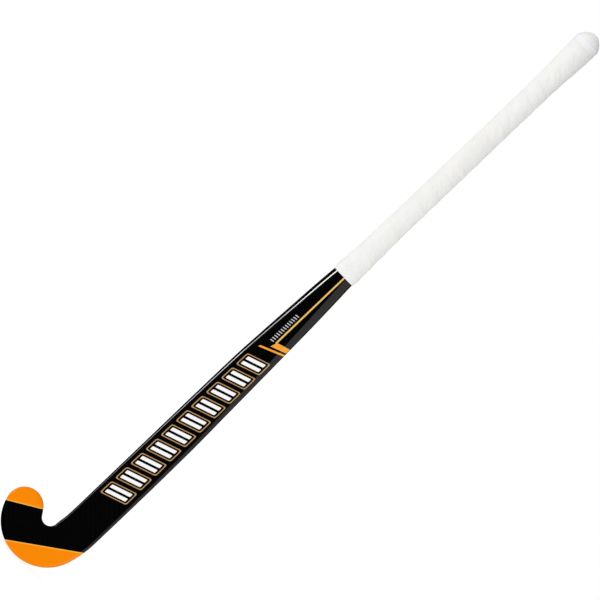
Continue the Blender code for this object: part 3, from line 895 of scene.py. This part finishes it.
def hatched_row(graph, x, height, front, colour):
    """A row of slanted frames up the face, each with two white bars in a gold keyline."""
    along = graph.math("MULTIPLY_ADD", x, ROW_SLANT, height)
    start = graph.minus(along, ROW_START)
    from_middle = graph.minus(ROW_PITCH / 2, graph.math("PINGPONG", start, ROW_PITCH / 2))
    in_row = graph.span(start, ROW_PITCH * ROW_COUNT)
    half_width = graph.math("MULTIPLY_ADD", height, ROW_NARROWING, ROW_HALF_WIDTH)
    from_side = graph.minus(graph.math("ABSOLUTE", graph.minus(x, ROW_MIDDLE)), half_width)
    from_end = graph.minus(from_middle, FRAME_HALF_LENGTH)
    rounded = graph.math("SMOOTH_MAX", from_end, from_side, FRAME_ROUNDING)
    keyline = graph.both(graph.outline(rounded, KEYLINE_WIDTH), in_row)
    colour = graph.mix(graph.times(graph.inside(keyline), front), colour, GOLD)
    bar = graph.band(from_middle, BAR_MIDDLE, BAR_HALF_WIDTH)
    bar = graph.math("SMOOTH_MAX", bar, graph.math("ADD", from_side, BAR_MARGIN), BAR_ROUNDING)
    return graph.mix(graph.times(graph.inside(graph.both(bar, in_row)), front), colour, WHITE)


def shaft_lines(graph, x, height, front, colour):
    """The long gold line, the two slanted bars to the heel's side, and the row of small ticks."""
    line = graph.both(graph.band(x, LINE_MIDDLE, LINE_HALF_WIDTH), graph.minus(LINE_START, height))
    thick = graph.both(
        graph.times(graph.beyond(x, height, THICK_BAR_FOOT, THICK_BAR_LOWER), -1.0),
        graph.beyond(x, height, THICK_BAR_TOP, THICK_BAR_UPPER),
    )
    thick = graph.both(thick, graph.beyond(x, height, THICK_BAR_FOOT, THICK_BAR_END))
    thin = graph.both(
        graph.band(graph.beyond(x, height, THIN_BAR_FOOT, THIN_BAR_HEADING), 0.0, THIN_BAR_HALF_WIDTH),
        graph.beyond(x, height, THIN_BAR_FOOT, THICK_BAR_END),
    )
    bars = graph.inside(graph.math("MINIMUM", thick, thin))
    colour = graph.mix(graph.times(graph.inside(line), front), colour, PALE_GOLD)
    colour = graph.mix(graph.times(bars, front), colour, AMBER)
    start = graph.minus(graph.math("MULTIPLY_ADD", x, TICK_SLANT, height), TICK_START)
    from_gap = graph.math("PINGPONG", start, TICK_PITCH / 2)
    tick = graph.minus(TICK_PITCH / 2 - TICK_HALF_WIDTH, from_gap)
    tick = graph.both(tick, graph.band(x, TICK_MIDDLE, TICK_HALF_HEIGHT))
    tick = graph.both(tick, graph.span(start, TICK_PITCH * TICK_COUNT))
    return graph.mix(graph.times(graph.inside(tick), front), colour, TICK_GREY)


def lacquer():
    """Black carbon twill under clear lacquer, with the printed colours on it and wear round the head."""
    graph = Graph("lacquer", 0.35)
    point = graph.point()
    x, _, z = graph.split(point)
    height = graph.minus(z, MARK_FOOT)
    to_heel, to_back, _ = graph.split(graph.add("ShaderNodeNewGeometry").outputs["Normal"])
    front = graph.ramp(to_back, -FACE_SHARPNESS, -1.0)
    weave = graph.twill(point, SHELL_TOW)
    strands = graph.noise(point, 900.0, 2.0, stretch=(1.0, 1.0, 0.12))
    colour = graph.mix(graph.times(weave, strands), BLACK_DEEP, BLACK_TOW)
    colour = panel_colours(graph, x, height, colour)
    colour = hatched_row(graph, x, height, front, colour)
    colour = shaft_lines(graph, x, height, front, colour)
    on_edge = graph.math("GREATER_THAN", to_heel, EDGE_LINE_FACING)
    edge = graph.times(on_edge, graph.math("GREATER_THAN", height, EDGE_LINE_START))
    graph.set("Base Color", graph.mix(edge, colour, AMBER))
    graph.set("Specular IOR Level", 0.03)
    graph.set("Coat Weight", 1.0)
    graph.set("Coat IOR", 1.5)
    near_ground = graph.ramp(height, -WEAR_FADE, 1.0)
    scuffs = graph.noise(point, 260.0, 6.0, 0.7, stretch=(1.0, 1.0, 0.25))
    worn = graph.times(graph.ramp(scuffs, 6.0, -3.6), near_ground)
    haze = graph.noise(point, 45.0, 2.0)
    graph.set("Coat Roughness", graph.math("MULTIPLY_ADD", worn, 0.22, graph.spread(haze, 0.018, 0.04)))
    peel = graph.noise(point, 160.0, 1.0)
    scratch = graph.noise(point, 700.0, 2.0, stretch=(1.0, 1.0, 0.03))
    scratch = graph.times(scratch, near_ground)
    graph.set("Coat Normal", graph.bump(scratch, 0.000006, before=graph.bump(peel, 0.000012)))
    graph.set("Normal", graph.bump(weave, 0.00003, 0.5))
    return graph.material


def grip_leather():
    """White cushioned polyurethane with a fine embossed grain, the faint creases of being wound on, and
    painted shade in the crease at the foot of each overlap.
    """
    graph = Graph("grip", 0.52)
    point = graph.point()
    x, y, z = graph.split(point)
    grain = graph.cells(point, 950.0, "SMOOTH_F1")
    pores = graph.cells(point, 2600.0)
    wound = graph.add("ShaderNodeCombineXYZ")
    graph.join(graph.math("ADD", x, z), wound.inputs[0])
    graph.join(graph.times(y, PULL_THROUGH), wound.inputs[1])
    graph.join(graph.times(graph.minus(z, x), PULL_ALONG), wound.inputs[2])
    creases = graph.noise(wound.outputs[0], 150.0, 4.0, 0.55)
    smudge = graph.noise(wound.outputs[0], 48.0, 2.0, 0.6)
    tone = graph.math("MULTIPLY_ADD", smudge, 1.7, graph.math("MULTIPLY_ADD", grain, 0.3, -0.5))
    colour = graph.mix(tone, GRIP_PALE, GRIP_SMUDGED)
    # Painted shade: the grip's colour is darkened in the crease at the foot of each overlap
    painted_crease_shade = graph.add("ShaderNodeAttribute", attribute_name="crease").outputs["Fac"]
    graph.set("Base Color", graph.mix(graph.times(painted_crease_shade, 0.06), colour, GRIP_CREASE_SHADE))
    graph.set("Roughness", graph.spread(creases, 0.50, 0.68))
    graph.set("Specular IOR Level", 0.12)
    graph.set("Sheen Weight", 0.12)
    graph.set("Sheen Roughness", 0.5)
    graph.set("Subsurface Weight", 0.06)
    graph.set("Subsurface Scale", 0.0008)
    fine = graph.bump(graph.math("MULTIPLY_ADD", pores, 0.35, grain), 0.00004, 0.8)
    graph.set("Normal", graph.bump(creases, 0.0012, 0.9, before=fine))
    return graph.material


def vinyl_tape():
    """Smooth white vinyl tape, stretched a little, with faint rings of strain."""
    graph = Graph("end_tape", 0.45)
    point = graph.point()
    strain = graph.noise(point, 120.0, 3.0, stretch=(0.3, 0.3, 5.0))
    dust = graph.noise(point, 600.0, 2.0)
    graph.set("Base Color", graph.mix(dust, TAPE_CLEAN, TAPE_DUSTY))
    graph.set("Roughness", graph.spread(strain, 0.38, 0.56))
    graph.set("Specular IOR Level", 0.15)
    graph.set("Normal", graph.bump(strain, 0.00005, 0.5))
    return graph.material


def moulded_cap():
    """Cool white plastic from a spark-eroded mould."""
    graph = Graph("cap", 0.42)
    point = graph.point()
    sparks = graph.noise(point, 2400.0, 3.0, 0.7)
    flow = graph.noise(point, 60.0, 2.0)
    skirt = graph.mix(flow, SKIRT_PALE, SKIRT_DARKER)
    dome = graph.mix(flow, DOME_PALE, DOME_DARKER)
    above = graph.minus(graph.split(point)[2], DOME_TONE_START)
    on_dome = graph.ramp(above, DOME_TONE_SHARPNESS, 0.0)
    graph.set("Base Color", graph.mix(on_dome, skirt, dome))
    graph.set("Roughness", graph.spread(sparks, 0.34, 0.5))
    graph.set("Specular IOR Level", 0.15)
    graph.set("Normal", graph.bump(sparks, 0.00003, 0.6))
    return graph.material


def woven(name, tow, low, high, roughness):
    """Resin-wet cloth: a two-by-two twill with its strands showing."""
    graph = Graph(name, roughness)
    point = graph.point()
    weave = graph.twill(point, tow)
    strands = graph.noise(point, 1500.0, 3.0, stretch=(1.0, 1.0, 0.15))
    graph.set("Base Color", graph.mix(graph.math("MULTIPLY_ADD", weave, 0.6, strands), low, high))
    graph.set("Roughness", graph.spread(strands, roughness - 0.1, roughness + 0.1))
    graph.set("Normal", graph.bump(graph.math("MULTIPLY_ADD", strands, 0.4, weave), 0.0001, 0.7))
    graph.set("Coat Weight", 0.4)
    return graph.material


def cellular(name, scale, low, high):
    """Foam, cut or moulded, with its cells open at the surface."""
    graph = Graph(name, 0.85)
    point = graph.point()
    pores = graph.cells(point, scale)
    cloud = graph.noise(point, 50.0, 3.0)
    tone = graph.math("MULTIPLY_ADD", pores, 0.8, graph.times(cloud, 0.3))
    graph.set("Base Color", graph.mix(tone, low, high))
    graph.set("Roughness", graph.spread(pores, 0.75, 0.95))
    graph.set("Normal", graph.bump(pores, 0.0004, 0.8))
    return graph.material


def moulded(name, low, high, roughness):
    """A moulded plastic or rubber part with flow marks."""
    graph = Graph(name, roughness)
    point = graph.point()
    flow = graph.noise(point, 90.0, 4.0, stretch=(1.0, 1.0, 0.4))
    sparks = graph.noise(point, 1800.0, 2.0)
    graph.set("Base Color", graph.mix(flow, low, high))
    graph.set("Roughness", graph.spread(sparks, roughness - 0.08, roughness + 0.08))
    graph.set("Normal", graph.bump(sparks, 0.00005, 0.6))
    return graph.material


def crepe_tape():
    """Double-sided cloth tape, creased across by being wound."""
    graph = Graph("base_tape", 0.75)
    point = graph.point()
    weave = graph.twill(point, BASE_TAPE_TOW)
    crease = graph.noise(point, 140.0, 3.0, stretch=(0.4, 0.4, 4.0))
    graph.set("Base Color", graph.mix(crease, BASE_TAPE_PALE, BASE_TAPE_DARKER))
    graph.set("Roughness", graph.spread(crease, 0.65, 0.9))
    graph.set("Normal", graph.bump(graph.math("MULTIPLY_ADD", crease, 0.6, weave), 0.0001, 0.6))
    return graph.material


def dress_inside():
    """Materials for the CAD pieces that stay: all of them lie inside the shell or under the grip."""
    made = {
        "head_core": cellular("core_foam", 700.0, CORE_PALE, CORE_DARK),
        "foam": cellular("chamber_foam", 1100.0, FOAM_PALE, FOAM_DARK),
        "reinforcement": woven("aramid", ARAMID_TOW, ARAMID_DARK, ARAMID_PALE, 0.5),
        "chamber": woven("laminate", LAMINATE_TOW, LAMINATE_DARK, LAMINATE_PALE, 0.4),
        "plug": moulded("plug", PLUG_DARK, PLUG_PALE, 0.5),
        "collar": moulded("collar", COLLAR_DARK, COLLAR_PALE, 0.8),
        "base_tape": crepe_tape(),
    }
    for name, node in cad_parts.items():
        for ending, material in made.items():
            if name.endswith(ending):
                node.data.materials.clear()
                node.data.materials.append(material)


# ---------------------------------------------------------------- the studio

def studio_world():
    """White behind the stick, soft light that is brighter at the toe, and the mirrored panel."""
    world = bpy.data.worlds.new("studio")
    bpy.context.scene.world = world
    graph = Nodes(world, "Background")
    x, y, z = graph.split(graph.add("ShaderNodeTexCoord").outputs["Generated"])
    angle = graph.math("ARCTAN2", x, graph.times(y, -1.0))
    raised = graph.ramp(z, PANEL_LATER_SHARPNESS, 0.0)
    start = graph.math("MULTIPLY_ADD", raised, PANEL_LATER, PANEL_START)
    starts = graph.ramp(graph.minus(angle, start), PANEL_START_SHARPNESS, 0.5)
    ends = graph.ramp(graph.minus(angle, PANEL_END), -PANEL_END_SHARPNESS, 0.5)
    low = graph.ramp(graph.math("ABSOLUTE", z), -PANEL_TOP_SHARPNESS, PANEL_TOP_SHARPNESS * PANEL_TOP)
    dimmed = graph.ramp(graph.math("MAXIMUM", z, 0.0), -PANEL_DIMMING, 1.0)
    level = graph.times(graph.times(low, dimmed), PANEL_LEVEL)
    mirrored = graph.times(graph.times(starts, ends), level)
    soft = SOFT_LEVEL
    for part, share in zip((x, y, z), SOFT_SIDE):
        soft = graph.math("MULTIPLY_ADD", part, SOFT_SLOPE * share, soft)
    path = graph.add("ShaderNodeLightPath").outputs
    seen = graph.math("ADD", soft, graph.times(path["Is Glossy Ray"], graph.minus(mirrored, soft)))
    behind = graph.times(path["Is Camera Ray"], graph.minus(1.0, seen))
    graph.set("Strength", graph.math("ADD", seen, behind))
    graph.set("Color", LIGHT)


def card(name, middle, across, up, material):
    """A flat card of the studio, from its middle to its sides by across and to its ends by up."""
    mesh = bpy.data.meshes.new(name)
    corners = ((-1, -1), (1, -1), (1, 1), (-1, 1))
    mesh.from_pydata([middle + i * across + j * up for i, j in corners], [], [(0, 1, 2, 3)])
    mesh.materials.append(material)
    made = bpy.data.objects.new(name, mesh)
    bpy.context.scene.collection.objects.link(made)
    return made


def pale_floor():
    """A plain pale floor just under the head."""
    graph = Graph("floor", 0.9)
    cloud = graph.noise(graph.point(), 3.0, 2.0)
    graph.set("Base Color", graph.mix(cloud, (0.42, 0.42, 0.42, 1.0), (0.40, 0.40, 0.40, 1.0)))
    graph.set("Emission Color", LIGHT)
    graph.set("Emission Strength", FLOOR_GLOW)
    graph.set("Specular IOR Level", 0.0)
    graph.material.cycles.emission_sampling = "NONE"
    middle = Vector((0.0, 0.0, FLOOR))
    across = Vector((FLOOR_REACH, 0.0, 0.0))
    back = Vector((0.0, FLOOR_REACH, 0.0))
    floor = card("floor", middle, across, back, graph.material)
    floor.visible_glossy = False


def strip_light():
    """A tall strip beside the toe's side of the shaft, seen only in the lacquer, dimmer towards its foot."""
    graph = Graph("strip", 1.0)
    z = graph.split(graph.point())[2]
    fall = STRIP_FULL - STRIP_FOOT
    share = graph.ramp(z, 1 / fall, -STRIP_FOOT / fall)
    from_dip = graph.math("ABSOLUTE", graph.minus(z, STRIP_DIP_MIDDLE))
    dip = graph.ramp(from_dip, -1 / STRIP_DIP_EDGE, STRIP_DIP_REACH / STRIP_DIP_EDGE)
    sideways = graph.add("ShaderNodeLayerWeight").outputs["Facing"]
    level = graph.ramp(sideways, -STRIP_GRID, 1.0 + STRIP_GRID * STRIP_OPENING)
    level = graph.times(level, graph.math("POWER", share, STRIP_FALL))
    level = graph.times(level, graph.math("MULTIPLY_ADD", dip, -STRIP_DIP, 1.0))
    graph.set("Base Color", (0.0, 0.0, 0.0, 1.0))
    graph.set("Emission Color", LIGHT)
    graph.set("Emission Strength", graph.times(level, STRIP_LEVEL))
    away = Vector((math.sin(STRIP_MIDDLE), -math.cos(STRIP_MIDDLE), 0.0))
    across = Vector((away.y, -away.x, 0.0)) * STRIP_WIDTH / 2
    middle = away * STRIP_DISTANCE + Vector((0.0, 0.0, (STRIP_FOOT + STRIP_TOP) / 2))
    up = Vector((0.0, 0.0, (STRIP_TOP - STRIP_FOOT) / 2))
    strip = card("strip", middle, across, up, graph.material)
    strip.visible_camera = False
    strip.visible_diffuse = False
    strip.visible_shadow = False


def dark_flag():
    """A dark card on the heel's side of the butt, which gives the cap and the flare their shade."""
    graph = Graph("flag", 1.0)
    cloud = graph.noise(graph.point(), 20.0)
    graph.set("Base Color", graph.mix(cloud, (0.03, 0.03, 0.03, 1.0), (0.04, 0.04, 0.04, 1.0)))
    across = Vector((0.0, FLAG_SIZE[0] / 2, 0.0))
    up = Vector((0.0, 0.0, FLAG_SIZE[1] / 2))
    flag = card("flag", Vector(FLAG_PLACE), across, up, graph.material)
    flag.visible_camera = False
    flag.visible_glossy = False


def camera():
    """Square on to the playing face, turned so that the stick lies on the frame's diagonal."""
    lens = bpy.data.cameras.new("camera")
    lens.sensor_width = SENSOR_WIDTH
    lens.lens = lens.sensor_width * VIEW_DISTANCE / VIEW_WIDTH
    lens.clip_end = 20 * VIEW_DISTANCE
    made = bpy.data.objects.new("camera", lens)
    bpy.context.scene.collection.objects.link(made)
    right = Vector((math.sin(VIEW_ANGLE), 0.0, math.cos(VIEW_ANGLE)))
    up = Vector((-math.cos(VIEW_ANGLE), 0.0, math.sin(VIEW_ANGLE)))
    back = Vector((0.0, -1.0, 0.0))
    turn = Matrix((right, up, back)).transposed().to_4x4()
    made.matrix_world = Matrix.Translation(VIEW_CENTRE + VIEW_DISTANCE * back) @ turn
    bpy.context.scene.camera = made


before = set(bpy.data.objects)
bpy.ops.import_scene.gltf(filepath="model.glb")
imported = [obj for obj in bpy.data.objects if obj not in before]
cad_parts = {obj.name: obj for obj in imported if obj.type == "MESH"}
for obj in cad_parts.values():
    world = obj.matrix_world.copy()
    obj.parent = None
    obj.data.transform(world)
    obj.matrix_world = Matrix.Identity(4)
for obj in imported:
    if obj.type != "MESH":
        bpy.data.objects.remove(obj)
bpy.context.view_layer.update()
shell()
wound_grip()
end_tape()
end_cap()
dress_inside()
studio_world()
pale_floor()
strip_light()
dark_flag()
camera()
bpy.context.scene.view_settings.view_transform = "Standard"
